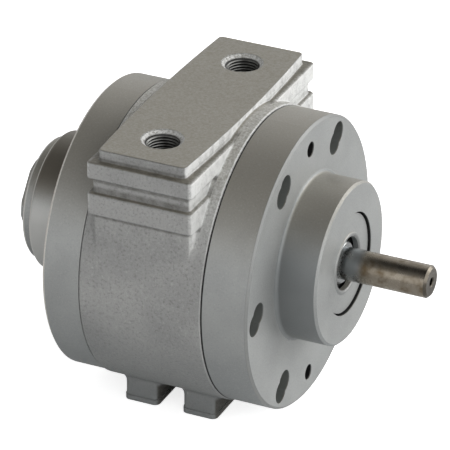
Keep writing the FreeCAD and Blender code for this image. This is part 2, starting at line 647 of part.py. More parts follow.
def rotor():
    """Slotted rotor pressed on the shaft."""
    slot_low = vane_foot_radius() - SLOT_BOTTOM_GAP
    half = VANE_THICKNESS / 2 + VANE_CLEARANCE
    slot = block(X_ROTOR_REAR - OVERCUT, X_ROTOR_FRONT + OVERCUT,
                 slot_low, ROTOR_RADIUS + OVERCUT, -half, half)
    cuts = [spun(slot, pin_line(index)) for index in range(VANE_COUNT)]
    cuts += pin_holes(2 * (slot_low + OVERCUT))
    for x_face, inward in ((X_ROTOR_FRONT, -1), (X_ROTOR_REAR, 1)):
        cuts.append(bar(ROTOR_RELIEF_RADIUS, x_face - inward * OVERCUT, x_face + inward * ROTOR_RELIEF_DEPTH))
    blank = ring(ROTOR_RADIUS, ROTOR_SEAT_RADIUS, X_ROTOR_REAR, X_ROTOR_FRONT)
    return blank.cut(cuts)


def vane(index):
    """One sliding vane, fully retracted in its slot."""
    low = vane_foot_radius()
    half = VANE_THICKNESS / 2
    high = low + VANE_HEIGHT
    plate = block(X_ROTOR_REAR + VANE_END_GAP, X_ROTOR_FRONT - VANE_END_GAP, low, high, -half, half)
    tip = edges_where(plate, lambda centre, box: centre.y > high - EDGE_TOLERANCE and box.XLength > OVERCUT)
    return spun(plate.makeFillet(VANE_TIP_FILLET, tip), pin_line(index))


def push_pins():
    """The pins that pass through rotor and shaft and push opposite vanes apart."""
    length = 2 * (vane_foot_radius() - PUSH_PIN_END_GAP)
    pins = []
    for pair in range(VANE_COUNT // 2):
        pins += [cross_bar(PUSH_PIN_RADIUS, length, x, pin_line(pair)) for x in pin_stations(pair)]
    return Part.makeCompound(pins)


def ball_track(x_middle):
    """Torus that cuts the ball track in both races."""
    centre = Vector(x_middle, 0, 0)
    return Part.makeTorus(BALL_PITCH_RADIUS, BALL_RADIUS + BALL_CLEARANCE, centre, Vector(1, 0, 0))


def race(seat_radius, land_radius, x_front):
    """One bearing race, with its seat's corners broken and its ball track cut."""
    x_rear = x_front - BEARING_WIDTH
    broken = seat_radius + math.copysign(RACE_CHAMFER, land_radius - seat_radius)
    body = turned([
        (x_front, land_radius),
        (x_front, broken),
        (x_front - RACE_CHAMFER, seat_radius),
        (x_rear + RACE_CHAMFER, seat_radius),
        (x_rear, broken),
        (x_rear, land_radius),
    ])
    return body.cut(ball_track((x_front + x_rear) / 2))


def balls(x_front):
    """The balls of one bearing."""
    x = x_front - BEARING_WIDTH / 2
    places = on_circle(BALL_COUNT, BALL_PITCH_RADIUS, 90.0)
    return Part.makeCompound([Part.makeSphere(BALL_RADIUS, Vector(x, y, z)) for y, z in places])


def cage(x_front):
    """Cage that spaces the balls, with a round pocket for each."""
    x = x_front - BEARING_WIDTH / 2
    body = ring(CAGE_OUTER_RADIUS, CAGE_INNER_RADIUS, x - CAGE_WIDTH / 2, x + CAGE_WIDTH / 2)
    pockets = []
    for y, z in on_circle(BALL_COUNT, BALL_PITCH_RADIUS, 90.0):
        outward = Vector(0, y, z).normalize()
        start = Vector(x, 0, 0) + outward * (CAGE_INNER_RADIUS - OVERCUT)
        reach = CAGE_OUTER_RADIUS - CAGE_INNER_RADIUS + 2 * OVERCUT
        pockets.append(Part.makeCylinder(BALL_RADIUS + BALL_CLEARANCE, reach, start, outward))
    return body.cut(pockets)


def bearing(prefix, x_front):
    """The pieces of one ball bearing by node name."""
    return {
        prefix + "_bearing_outer_race": race(BEARING_OUTER_RADIUS, OUTER_LAND_RADIUS, x_front),
        prefix + "_bearing_inner_race": race(JOURNAL_RADIUS, INNER_LAND_RADIUS, x_front),
        prefix + "_bearing_balls": balls(x_front),
        prefix + "_bearing_cage": cage(x_front),
    }


def split_ring(outer_radius, inner_radius, x_from, x_to, lug_radius, gap_turn):
    """Retaining ring with an open gap and a pierced lug at each side of it."""
    band = ring(outer_radius, inner_radius, x_from, x_to)
    middle = (outer_radius + inner_radius) / 2
    half_gap = CIRCLIP_GAP_ANGLE / 2
    width = 2 * middle * math.sin(math.radians(half_gap))
    slot = block(x_to - OVERCUT, x_from + OVERCUT, 0, outer_radius + OVERCUT, -width / 2, width / 2)
    band = band.cut(spun(slot, gap_turn))
    pads = []
    holes = []
    reach = CIRCLIP_WIDTH / 2
    for side in (-1, 1):
        angle = math.radians(gap_turn + side * (half_gap + math.degrees(reach / lug_radius)))
        y = lug_radius * math.cos(angle)
        z = lug_radius * math.sin(angle)
        pads.append(bar(reach, x_from, x_to, y, z))
        holes.append(bar(reach / 2, x_from + OVERCUT, x_to - OVERCUT, y, z))
    return band.fuse(pads).removeSplitter().cut(holes)


def front_retaining_ring():
    """Internal ring that holds the front bearing in its bore."""
    x_from = X_FRONT_BEARING + CIRCLIP_THICKNESS
    outer = GROOVE_RADIUS - CIRCLIP_GROOVE_PLAY
    inner = BEARING_OUTER_RADIUS - CIRCLIP_WIDTH / 2
    return split_ring(outer, inner, x_from, X_FRONT_BEARING, inner, 90.0)


def rear_retaining_ring():
    """External ring that holds the rear bearing on the shaft."""
    inner = JOURNAL_RADIUS - CIRCLIP_SEAT_DEPTH / 2 + CIRCLIP_GROOVE_PLAY
    outer = JOURNAL_RADIUS + CIRCLIP_WIDTH / 2
    x_from = rear_clip_front()
    return split_ring(outer, inner, x_from, x_from - CIRCLIP_THICKNESS, outer, 90.0)


def shaft_seal():
    """Lip seal that runs on the front journal."""
    x_rear = X_FRONT_BEARING + CIRCLIP_THICKNESS + SEAL_GAP
    x_front = x_rear + SEAL_WIDTH
    lip = JOURNAL_RADIUS + SEAL_RUNNING_CLEARANCE
    return turned([
        (x_front, BEARING_OUTER_RADIUS),
        (x_rear, BEARING_OUTER_RADIUS),
        (x_rear, BEARING_OUTER_RADIUS - SEAL_WALL),
        (x_front - SEAL_WALL, BEARING_OUTER_RADIUS - SEAL_WALL),
        (x_front - SEAL_WALL, lip + 2 * SEAL_WALL),
        (x_rear + SEAL_WALL, lip + 2 * SEAL_WALL),
        (x_rear + SEAL_WALL, lip),
        (x_rear + 2 * SEAL_WALL, lip),
        (x_front, lip + SEAL_WALL),
    ])


def seal_cover():
    """Flat cover ring pressed in the boss's recess, with a rounded bead round its opening."""
    x_back = -RECESS_DEPTH
    x_face = x_back + COVER_THICKNESS
    spigot_inner = BEARING_OUTER_RADIUS - COVER_SPIGOT_WALL
    plate = turned([
        (x_face, COVER_OPENING_RADIUS),
        (x_face, COVER_RADIUS),
        (x_back, COVER_RADIUS),
        (x_back, BEARING_OUTER_RADIUS),
        (x_back - COVER_SPIGOT_LENGTH, BEARING_OUTER_RADIUS),
        (x_back - COVER_SPIGOT_LENGTH, spigot_inner),
        (x_back, spigot_inner),
        (x_back, COVER_OPENING_RADIUS),
    ])
    bead = Part.makeTorus(COVER_OPENING_RADIUS + COVER_BEAD_RADIUS, COVER_BEAD_RADIUS,
                          Vector(x_face - COVER_BEAD_RADIUS / 2, 0, 0), Vector(1, 0, 0))
    return plate.fuse(bead).removeSplitter()


def rear_cap():
    """Screwed cap that closes the rear bearing's bore, with six flats on its end to turn it by."""
    spigot = CAP_SPIGOT_RADIUS - CAP_SPIGOT_CLEARANCE
    x_spigot = X_HUB_END + CAP_SPIGOT_LENGTH
    body = turned([
        (x_spigot, CAP_HOLLOW_RADIUS),
        (x_spigot, spigot),
        (X_HUB_END, spigot),
        (X_HUB_END, CAP_FLANGE_RADIUS),
        (X_FLANGE_END + CAP_CHAMFER, CAP_FLANGE_RADIUS),
        (X_FLANGE_END, CAP_FLANGE_RADIUS - CAP_CHAMFER),
        (X_FLANGE_END, CAP_COLLAR_RADIUS),
        (X_CAP_END + CAP_CHAMFER, CAP_COLLAR_RADIUS),
        (X_CAP_END, CAP_COLLAR_RADIUS - CAP_CHAMFER),
        (X_CAP_END, 0),
        (x_spigot - CAP_HOLLOW_DEPTH, 0),
        (x_spigot - CAP_HOLLOW_DEPTH, CAP_HOLLOW_RADIUS),
    ])
    blank = bar(CAP_COLLAR_RADIUS + OVERCUT, X_CAP_END - OVERCUT, X_COLLAR_END)
    x_from = X_CAP_END - 2 * OVERCUT
    flats = hexagon(CAP_HEX_CORNER_RADIUS, x_from, X_COLLAR_END + OVERCUT, 0, 0, CAP_HEX_TURN)
    return body.cut(blank.cut(flats))


def cap_seal():
    """Sealing ring under the cap's flange."""
    radius = CAP_SEAL_THICKNESS / 2
    return Part.makeTorus(CAP_SPIGOT_RADIUS + CAP_SEAL_PLAY + radius, radius,
                          Vector(X_HUB_END + CAP_SEAL_PLAY / 2 + radius, 0, 0), Vector(1, 0, 0))


def preload_spring():
    """Wave washer between the rear bearing's outer race and the cap."""
    x_rear = X_HUB_END + CAP_SPIGOT_LENGTH
    x_front = rear_clip_front()
    middle = (x_rear + x_front) / 2
    swing = (x_front - x_rear - SPRING_THICKNESS) / 2 - SPRING_END_GAP
    steps = 16 * SPRING_WAVES
    rails = []
    for radius in (SPRING_INNER_RADIUS, SPRING_OUTER_RADIUS):
        points = []
        for index in range(steps):
            angle = 2 * math.pi * index / steps
            x = middle + swing * math.cos(SPRING_WAVES * angle) - SPRING_THICKNESS / 2
            points.append(Vector(x, radius * math.cos(angle), radius * math.sin(angle)))
        curve = Part.BSplineCurve()
        curve.interpolate(points, PeriodicFlag=True)
        rails.append(curve.toShape())
    band = Part.makeRuledSurface(rails[0], rails[1])
    return band.extrude(Vector(SPRING_THICKNESS, 0, 0))


def pieces():
    """Every piece of the motor by node name."""
    nodes = {
        "body_housing": body_housing(),
        "front_end_plate": front_end_plate(),
        "rear_end_plate": rear_end_plate(),
        "rear_cap": rear_cap(),
        "cap_seal": cap_seal(),
        "preload_spring": preload_spring(),
        "front_gasket": gasket(X_PLATE_BACK, X_BODY_FRONT),
        "rear_gasket": gasket(X_BODY_REAR, X_REAR_FRONT),
        "front_plate_screws": screw_set(X_PLATE_BACK + SCREW_SEAT_THICKNESS, -1),
        "rear_plate_screws": screw_set(X_REAR_FRONT - SCREW_SEAT_THICKNESS, 1),
        "front_dowels": dowel_set(X_PLATE_BACK, X_BODY_FRONT),
        "rear_dowels": dowel_set(X_REAR_FRONT, X_BODY_REAR),
        "seal_cover": seal_cover(),
        "shaft_seal": shaft_seal(),
        "front_retaining_ring": front_retaining_ring(),
        "rear_retaining_ring": rear_retaining_ring(),
        "drive_shaft": drive_shaft(),
        "rotor": rotor(),
        "push_pins": push_pins(),
    }
    for index in range(VANE_COUNT):
        nodes["vane_" + str(index + 1)] = vane(index)
    nodes.update(bearing("front", X_FRONT_BEARING))
    nodes.update(bearing("rear", X_REAR_BEARING))
    return nodes


def main():
    """Write one STEP file for each piece."""
    os.makedirs("parts", exist_ok=True)
    for name, shape in pieces().items():
        shape.exportStep("parts/" + name + ".step")
        box = shape.BoundBox
        corners = (box.XMin, box.XMax, box.YMin, box.YMax, box.ZMin, box.ZMax)
        print(name, "valid", shape.isValid(), "solids", len(shape.Solids), "volume", round(shape.Volume))
        print("  box", [round(value, 1) for value in corners])


main()
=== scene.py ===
import logging
import math
from dataclasses import dataclass
from enum import Enum
from typing import Protocol

import bpy
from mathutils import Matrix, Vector


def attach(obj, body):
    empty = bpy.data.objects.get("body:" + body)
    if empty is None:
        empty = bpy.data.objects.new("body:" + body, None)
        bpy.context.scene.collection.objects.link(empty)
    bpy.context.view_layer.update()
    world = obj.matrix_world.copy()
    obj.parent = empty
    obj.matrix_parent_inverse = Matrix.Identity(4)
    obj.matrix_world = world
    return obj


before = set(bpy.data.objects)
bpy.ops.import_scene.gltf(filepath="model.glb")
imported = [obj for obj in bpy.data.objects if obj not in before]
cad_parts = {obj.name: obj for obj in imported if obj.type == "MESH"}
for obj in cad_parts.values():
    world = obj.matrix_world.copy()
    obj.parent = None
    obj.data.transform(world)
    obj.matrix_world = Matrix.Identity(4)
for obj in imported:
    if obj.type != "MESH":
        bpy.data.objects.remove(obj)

LOG = logging.getLogger("air_motor")
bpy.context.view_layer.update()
MM = 0.001

Colour = tuple[float, float, float]
Point = tuple[float, float, float]
Socket = bpy.types.NodeSocket

# Places that the finishes and the added pieces share with the solids, in millimetres.
BODY_AXIS_Z = -4.9
BLOCK_TOP_Z = 84.6
FLOOR_Z = -97.0
PORT_X = -91.95
PORT_Y = 52.9
JOINT_X = -53.05
PLATE_FACE_X = -25.1
FRONT_POCKET_END_X = -52.0
REAR_POCKET_END_X = -130.0
REAR_FACE_X = -152.5
REAR_HUB_END_X = -184.5
CAP_FLANGE_X = -190.8
PLATE_RIM_RADIUS = 85.4
PLATE_HOLE_REACH = 84.0
HALF_FACE_HOLE = 6.0

# How far below a plate's face the painted shade of its holes starts, and the width over which a mask fades
# unless it says otherwise, in millimetres.
HOLE_LIP = 0.7
SOFT_EDGE = 0.2

# Tones that several finishes share. The pocket tone is painted shade. The near-black tone is painted shade in
# holes and gaps, and it also darkens the joint lines. The dull tone gives dull specks, and painted shade on
# the boss's side.
POCKET_SHADE_TONE: Colour = (0.190, 0.200, 0.190)
JOINT_AND_HOLE_SHADE_TONE: Colour = (0.020, 0.020, 0.020)
DULL_SPECK_AND_SHADE_TONE: Colour = (0.190, 0.202, 0.204)
RUBBER_TONE: Colour = (0.016, 0.016, 0.016)
WORN_RUBBER_TONE: Colour = (0.028, 0.028, 0.028)


class Axis(Enum):
    """The axis that a turned face's tool marks run round, by its height in millimetres."""

    BODY = BODY_AXIS_Z
    SHAFT = 0.0


@dataclass(frozen=True)
class Grain:
    """A noise: size of one grain in millimetres, octaves of finer noise and the share each one keeps."""

    size: float
    detail: float = 4.0
    rough: float = 0.55


@dataclass(frozen=True)
class Ramp:
    """A smooth map of one range on another. The first range may run downward."""

    low: float
    high: float
    to_low: float = 0.0
    to_high: float = 1.0


@dataclass(frozen=True)
class Band:
    """A stretch about a middle, by its half width, and the width over which it fades, in millimetres."""

    middle: float
    half: float
    soft: float = SOFT_EDGE

    @classmethod
    def between(cls, low: float, high: float, soft: float = SOFT_EDGE) -> "Band":
        """Band from one place to another."""
        return cls((low + high) / 2, (high - low) / 2, soft)


class Finish(Protocol):
    """Anything that a piece can be dressed in."""

    def build(self) -> bpy.types.Material:
        """Build the material."""


class NodeBoard:
    """One material's node tree, with short ways to add the nodes that the finishes use.

    Places are in metres, as in the scene. Grains, bands and limits are given in millimetres.
    """

    def __init__(self, name: str) -> None:
        """Start a material.

        Args:
            name: Name of the material.
        """
        self.material = bpy.data.materials.new(name)
        self.material.use_nodes = True
        self.tree = self.material.node_tree
        self.shader = self.tree.nodes["Principled BSDF"]
        coordinates = self.tree.nodes.new("ShaderNodeTexCoord")
        self.place = coordinates.outputs["Object"]
        self.along, self.across, self.height = self.parts_of(self.place)
        self.forward, _, self.up = self.parts_of(coordinates.outputs["Normal"])

    def put(self, socket: Socket, value: object) -> None:
        """Link a socket or set its value.

        Args:
            socket: Input to fill.
            value: Another node's output, a number or a colour.
        """
        if isinstance(value, bpy.types.NodeSocket):
            self.tree.links.new(value, socket)
        elif isinstance(value, tuple) and len(value) == 3 and len(socket.default_value) == 4:
            socket.default_value = (*value, 1.0)
        else:
            socket.default_value = value

    def parts_of(self, vector: Socket) -> tuple[Socket, Socket, Socket]:
        """The three components of a vector.

        Args:
            vector: The vector.

        Returns:
            Its X, Y and Z.
        """
        node = self.tree.nodes.new("ShaderNodeSeparateXYZ")
        self.put(node.inputs[0], vector)
        return node.outputs[0], node.outputs[1], node.outputs[2]

    def noise(self, grain: Grain, place: Socket | None = None) -> Socket:
        """Noise of a stated grain.

        Args:
            grain: Its size and fineness.
            place: Coordinates to use in place of the object's own.

        Returns:
            The noise, about 0.5 on average.
        """
        node = self.tree.nodes.new("ShaderNodeTexNoise")
        self.put(node.inputs["Vector"], place or self.place)
        node.inputs["Scale"].default_value = 1.0 / (grain.size * MM)
        node.inputs["Detail"].default_value = grain.detail
        node.inputs["Roughness"].default_value = grain.rough
        return node.outputs["Fac"]

    def math(self, operation: str, first: object, second: object = 0.0) -> Socket:
        """One arithmetic step.

        Args:
            operation: Name of the Math node's operation.
            first: First number.
            second: Second number.

        Returns:
            The result.
        """
        node = self.tree.nodes.new("ShaderNodeMath")
        node.operation = operation
        self.put(node.inputs[0], first)
        self.put(node.inputs[1], second)
        return node.outputs[0]

    def plus(self, first: object, second: object) -> Socket:
        """Sum of two numbers."""
        return self.math("ADD", first, second)

    def minus(self, first: object, second: object) -> Socket:
        """Difference of two numbers."""
        return self.math("SUBTRACT", first, second)

    def times(self, first: object, second: object) -> Socket:
        """Product of two numbers."""
        return self.math("MULTIPLY", first, second)

    def rest_of(self, share: object) -> Socket:
        """What a share leaves of 1."""
        return self.minus(1.0, share)

    def map(self, value: Socket, ramp: Ramp, unit: float = 1.0) -> Socket:
        """Map one range on another with smooth ends.

        Args:
            value: Number to map.
            ramp: The two ranges.
            unit: Size of the first range's unit.

        Returns:
            The mapped number.
        """
        node = self.tree.nodes.new("ShaderNodeMapRange")
        node.interpolation_type = "SMOOTHSTEP"
        self.put(node.inputs["Value"], value)
        node.inputs["From Min"].default_value = ramp.low * unit
        node.inputs["From Max"].default_value = ramp.high * unit
        node.inputs["To Min"].default_value = ramp.to_low
        node.inputs["To Max"].default_value = ramp.to_high
        return node.outputs["Result"]

    def within(self, value: Socket, band: Band) -> Socket:
        """Mask of a band.

        Args:
            value: Place to test.
            band: The band.

        Returns:
            1 inside the band and 0 outside.
        """
        offset = self.math("ABSOLUTE", self.minus(value, band.middle * MM))
        return self.map(offset, Ramp(band.half, band.half + band.soft, 1.0, 0.0), MM)

    def up_to(self, value: Socket, limit: float) -> Socket:
        """Mask that is 1 up to a limit and 0 past it."""
        return self.map(value, Ramp(limit, limit + SOFT_EDGE, 1.0, 0.0), MM)

    def past(self, value: Socket, limit: float) -> Socket:
        """Mask that is 0 up to a limit and 1 past it."""
        return self.map(value, Ramp(limit, limit + SOFT_EDGE), MM)

    def mix(self, share: object, first: object, second: object) -> Socket:
        """Blend two colours.

        Args:
            share: How much of the second colour shows.
            first: First colour.
            second: Second colour.

        Returns:
            The blended colour.
        """
        node = self.tree.nodes.new("ShaderNodeMix")
        node.data_type = "RGBA"
        self.put(node.inputs["Factor"], share)
        self.put(node.inputs[6], first)
        self.put(node.inputs[7], second)
        return node.outputs[2]

    def radius_about(self, axis: Axis) -> Socket:
        """Distance from an axis along X.

        Args:
            axis: The body's or the shaft's axis.

        Returns:
            The distance.
        """
        rise = self.minus(self.height, axis.value * MM)
        square = self.plus(self.times(self.across, self.across), self.times(rise, rise))
        return self.math("SQRT", square)

    def ring_place(self, radius: Socket) -> Socket:
        """Coordinates that are the same all round an axis, so that noise becomes tool marks.

        Args:
            radius: Distance from the axis.

        Returns:
            The coordinates.
        """
        node = self.tree.nodes.new("ShaderNodeCombineXYZ")
        self.put(node.inputs[0], self.along)
        self.put(node.inputs[1], radius)
        return node.outputs[0]

    def bump(self, relief: Socket, depth: float, strength: float) -> Socket:
        """Surface relief.

        Args:
            relief: Relief, 0 to 1.
            depth: Its height in millimetres.
            strength: Share of it that shows.

        Returns:
            The changed normal.
        """
        node = self.tree.nodes.new("ShaderNodeBump")
        node.inputs["Strength"].default_value = strength
        node.inputs["Distance"].default_value = depth * MM
        self.put(node.inputs["Height"], relief)
        return node.outputs[0]

    def finish(
        self, colour: Socket, roughness: Socket, normal: Socket, metallic: float
    ) -> bpy.types.Material:
        """Feed the shader.

        Args:
            colour: Base colour.
            roughness: Roughness.
            normal: Normal.
            metallic: Share of metal, 0 to 1.

        Returns:
            The finished material.
        """
        self.put(self.shader.inputs["Base Color"], colour)
        self.put(self.shader.inputs["Roughness"], roughness)
        self.put(self.shader.inputs["Normal"], normal)
        self.shader.inputs["Metallic"].default_value = metallic
        return self.material


@dataclass(frozen=True)
class PortZone:
    """A round zone about both ports' axes, in millimetres: where it is gone and full, and its heights."""

    gone: float
    full: float
    heights: Band

    def mask(self, board: NodeBoard) -> Socket:
        """Mask of the zone.

        Args:
            board: The node tree.

        Returns:
            1 inside and 0 outside.
        """
        side = board.minus(board.math("ABSOLUTE", board.across), PORT_Y * MM)
        aside = board.minus(board.along, PORT_X * MM)
        square = board.plus(board.times(side, side), board.times(aside, aside))
        disc = board.map(square, Ramp((self.gone * MM) ** 2, (self.full * MM) ** 2))
        return board.times(disc, board.within(board.height, self.heights))


@dataclass(frozen=True)
class CastMasks:
    """What the cast paint's layers share: two noises, and masks of the flanks and the machined top."""

    grit: Socket
    lumps: Socket
    flank: Socket
    machined: Socket


@dataclass(frozen=True)
class CastPaint:
    """Silver-grey paint over a sand-cast skin, worn on the machined top and pads, with painted highlight and
    painted shade in places.

    Ramps named share run over a noise, those named slope over the normal, and those named height over
    the height in millimetres.
    """

    name: str = "cast_silver_paint"
    metallic: float = 0.25
    roughness: Ramp = Ramp(0.3, 0.7, 0.60, 0.42)

    cloud: Grain = Grain(38.0, 3.0)
    grit: Grain = Grain(1.5, 5.0, 0.7)
    lumps: Grain = Grain(5.5, 4.0, 0.6)

    shade: Colour = (0.306, 0.308, 0.302)
    light: Colour = (0.366, 0.367, 0.358)
    cloud_share: Ramp = Ramp(0.35, 0.65)
    # Light crests of the grit. The same tone is the painted highlight on the flanks and on the strip beside
    # the block.
    crest_and_highlight: Colour = (0.74, 0.745, 0.73)
    crest_share: Ramp = Ramp(0.56, 0.80, 0.0, 0.35)
    pit: Colour = (0.120, 0.118, 0.108)
    pit_share: Ramp = Ramp(0.50, 0.28, 0.0, 0.5)
    flank_slope: Ramp = Ramp(0.6, 0.95)
    flank_highlight_share: Ramp = Ramp(0.3, 0.6, 0.45, 1.0)
    joint: Band = Band(JOINT_X, 0.25)

    dust: Colour = (0.266, 0.245, 0.192)
    dust_slope: Ramp = Ramp(0.55, 0.95, 0.0, 0.85)
    # Painted shade on faces that turn downward and on the feet.
    lower_shade: Colour = (0.205, 0.215, 0.215)
    lower_shade_slope: Ramp = Ramp(0.1, -0.7, 0.0, 0.7)
    foot_shade_height: Ramp = Ramp(-70.0, -88.0, 0.0, 0.85)
    foot_flank_shade_height: Ramp = Ramp(-76.0, -82.0, 0.0, 0.9)
    machined_height: Ramp = Ramp(BLOCK_TOP_Z - 0.5, BLOCK_TOP_Z - 0.1)
    machined_share: Ramp = Ramp(0.35, 0.7, 0.05, 0.35)

    core: Band = Band(PORT_X, 29.5, 2.0)
    # A strip of lighter speckled paint and painted highlight beside the block.
    strip_height: Ramp = Ramp(30.0, 62.0)
    strip_share: Ramp = Ramp(0.35, 0.65, 0.2, 0.62)

    block: Band = Band(PORT_X, 32.4)
    grooves: tuple[Band, ...] = (
        Band(78.5, 0.5, 1.4), Band(60.0, 1.0, 2.4), Band(66.4, 0.9, 1.4), Band(44.1, 0.6, 1.2))
    # Painted shade in the grooves, under the ribs and low on the feet's flanks.
    crease_shade: Colour = (0.080, 0.076, 0.064)
    crease_shade_share: Ramp = Ramp(0.25, 0.65, 0.75, 0.4)
    flank_shade_cut: float = 0.6

    mouth: PortZone = PortZone(12.6, 12.2, Band(BLOCK_TOP_Z - 1.2, 1.0))
    mouth_share: Ramp = Ramp(0.35, 0.6, 0.1, 0.8)
    # Painted shade inside the port bores.
    bore: PortZone = PortZone(10.4, 10.1, Band(BLOCK_TOP_Z - 14.0, 11.6, 1.0))
    bore_shade_tone: Colour = (0.014, 0.013, 0.011)

    grit_relief: float = 0.6
    lump_relief: float = 0.7
    machined_flatness: float = 0.85
    relief_depth: float = 1.1

    def build(self) -> bpy.types.Material:
        """Build the material, one layer over the other.

        Returns:
            The finished material.
        """
        board = NodeBoard(self.name)
        masks = CastMasks(
            grit=board.noise(self.grit),
            lumps=board.noise(self.lumps),
            flank=board.map(board.forward, self.flank_slope),
            machined=board.map(board.height, self.machined_height, MM),
        )
        tone = self.skin(board, masks)
        tone = self.dust_and_painted_shade(board, masks, tone)
        tone = self.speckled_highlight_strip(board, masks, tone)
        tone = self.groove_crease_shade(board, masks, tone)
        tone = self.port_wear_and_shade(board, masks, tone)
        relief = board.plus(
            board.times(masks.grit, self.grit_relief), board.times(masks.lumps, self.lump_relief))
        cast = board.rest_of(board.times(masks.machined, self.machined_flatness))
        normal = board.bump(board.times(relief, cast), self.relief_depth, 1.0)
        return board.finish(tone, board.map(masks.grit, self.roughness), normal, self.metallic)

    def skin(self, board: NodeBoard, masks: CastMasks) -> Socket:
        """Clouded paint with light crests, dark pits, a painted highlight on the flanks and the dark joint
        line.

        Args:
            board: The node tree.
            masks: The shared masks.

        Returns:
            The colour.
        """
        cloud = board.map(board.noise(self.cloud), self.cloud_share)
        tone = board.mix(cloud, self.shade, self.light)
        tone = board.mix(board.map(masks.grit, self.crest_share), tone, self.crest_and_highlight)
        tone = board.mix(board.map(masks.grit, self.pit_share), tone, self.pit)
        # Painted highlight on the flanks that face +X.
        flank = board.times(masks.flank, board.map(masks.lumps, self.flank_highlight_share))
        tone = board.mix(flank, tone, self.crest_and_highlight)
        return board.mix(board.within(board.along, self.joint), tone, JOINT_AND_HOLE_SHADE_TONE)

    def dust_and_painted_shade(self, board: NodeBoard, masks: CastMasks, tone: Socket) -> Socket:
        """Dust above, painted shade below, on the feet and low on the feet's flanks, and the cleaner machined
        top.

        Args:
            board: The node tree.
            masks: The shared masks.
            tone: Colour so far.

        Returns:
            The colour.
        """
        tone = board.mix(board.map(board.up, self.dust_slope), tone, self.dust)
        # Painted shade on faces that turn downward, and on the feet towards the bottom.
        tone = board.mix(board.map(board.up, self.lower_shade_slope), tone, self.lower_shade)
        tone = board.mix(board.map(board.height, self.foot_shade_height, MM), tone, self.lower_shade)
        # Painted shade low on the feet's flanks that face +X.
        foot_flank_shade = board.times(masks.flank, board.map(board.height, self.foot_flank_shade_height, MM))
        tone = board.mix(foot_flank_shade, tone, self.crease_shade)
        top = board.times(masks.machined, board.map(masks.grit, self.machined_share))
        return board.mix(top, tone, self.light)

    def speckled_highlight_strip(self, board: NodeBoard, masks: CastMasks, tone: Socket) -> Socket:
        """Lighter speckled paint with a painted highlight on both sides of the block, from the body up to the
        machined top.

        Args:
            board: The node tree.
            masks: The shared masks.
            tone: Colour so far.

        Returns:
            The colour.
        """
        beside = board.rest_of(board.within(board.along, self.core))
        heights = board.times(
            board.map(board.height, self.strip_height, MM), board.rest_of(masks.machined))
        strip = board.times(beside, heights)
        # Lighter speckled paint and a painted highlight in the strip.
        lit_strip = board.times(strip, board.map(masks.grit, self.strip_share))
        return board.mix(lit_strip, tone, self.crest_and_highlight)

    def groove_crease_shade(self, board: NodeBoard, masks: CastMasks, tone: Socket) -> Socket:
        """Painted shade in the block's grooves and under its ribs, thinner on the flanks.

        Args:
            board: The node tree.
            masks: The shared masks.
            tone: Colour so far.

        Returns:
            The colour.
        """
        block = board.within(board.along, self.block)
        patches = board.map(masks.lumps, self.crease_shade_share)
        kept = board.rest_of(board.times(masks.flank, self.flank_shade_cut))
        # Painted shade in bands at the grooves and under the ribs.
        for groove in self.grooves:
            share = board.times(board.times(board.within(board.height, groove), patches), kept)
            tone = board.mix(board.times(block, share), tone, self.crease_shade)
        return tone

    def port_wear_and_shade(self, board: NodeBoard, masks: CastMasks, tone: Socket) -> Socket:
        """Bright chips on the ports' chamfers and painted shade inside their bores.

        Args:
            board: The node tree.
            masks: The shared masks.
            tone: Colour so far.

        Returns:
            The colour.
        """
        chips = board.times(self.mouth.mask(board), board.map(masks.grit, self.mouth_share))
        tone = board.mix(chips, tone, self.crest_and_highlight)
        # Painted shade inside the port bores.
        return board.mix(self.bore.mask(board), tone, self.bore_shade_tone)


@dataclass(frozen=True)
class ShadedHollow:
    """Painted shade inside the holes between two places along X, in millimetres, out to a radius and a half
    width.
    """

    low: float
    high: float
    reach: float
    axis: Axis
    colour: Colour
    half_width: float = 200.0

    def mask(self, board: NodeBoard) -> Socket:
        """Mask of the inside.

        Args:
            board: The node tree.

        Returns:
            1 inside and 0 outside.
        """
        depth = board.within(board.along, Band.between(self.low, self.high))
        inner = board.up_to(board.radius_about(self.axis), self.reach)
        across = board.within(board.across, Band(0.0, self.half_width))
        return board.times(depth, board.times(inner, across))


@dataclass(frozen=True)
class LightTint:
    """Painted light of another tone between two places along X, outside a radius about the shaft axis.

    Places and the radius are in millimetres. The tint's share follows the face's upward slope.
    """

    low: float
    high: float
    inner_radius: float
    colour: Colour
    slope: Ramp

    def mask(self, board: NodeBoard) -> Socket:
        """Mask of the tint.

        Args:
            board: The node tree.

        Returns:
            The share of the tint, 0 to 1.
        """
        depth = board.within(board.along, Band.between(self.low, self.high))
        outer = board.past(board.radius_about(Axis.SHAFT), self.inner_radius)
        return board.times(depth, board.times(outer, board.map(board.up, self.slope)))


@dataclass(frozen=True)
class Edge:
    """A broken edge round an axis: its place along X and its radius, in millimetres."""

    place: float
    radius: float
    half: float = 0.8
    soft: float = 0.3

    def mask(self, board: NodeBoard, radius: Socket) -> Socket:
        """Mask of the edge.

        Args:
            board: The node tree.
            radius: Distance from the axis.

        Returns:
            1 on the edge and 0 away from it.
        """
        return board.times(board.within(board.along, Band(self.place, self.half, self.soft)),
                           board.within(radius, Band(self.radius, self.half, self.soft)))


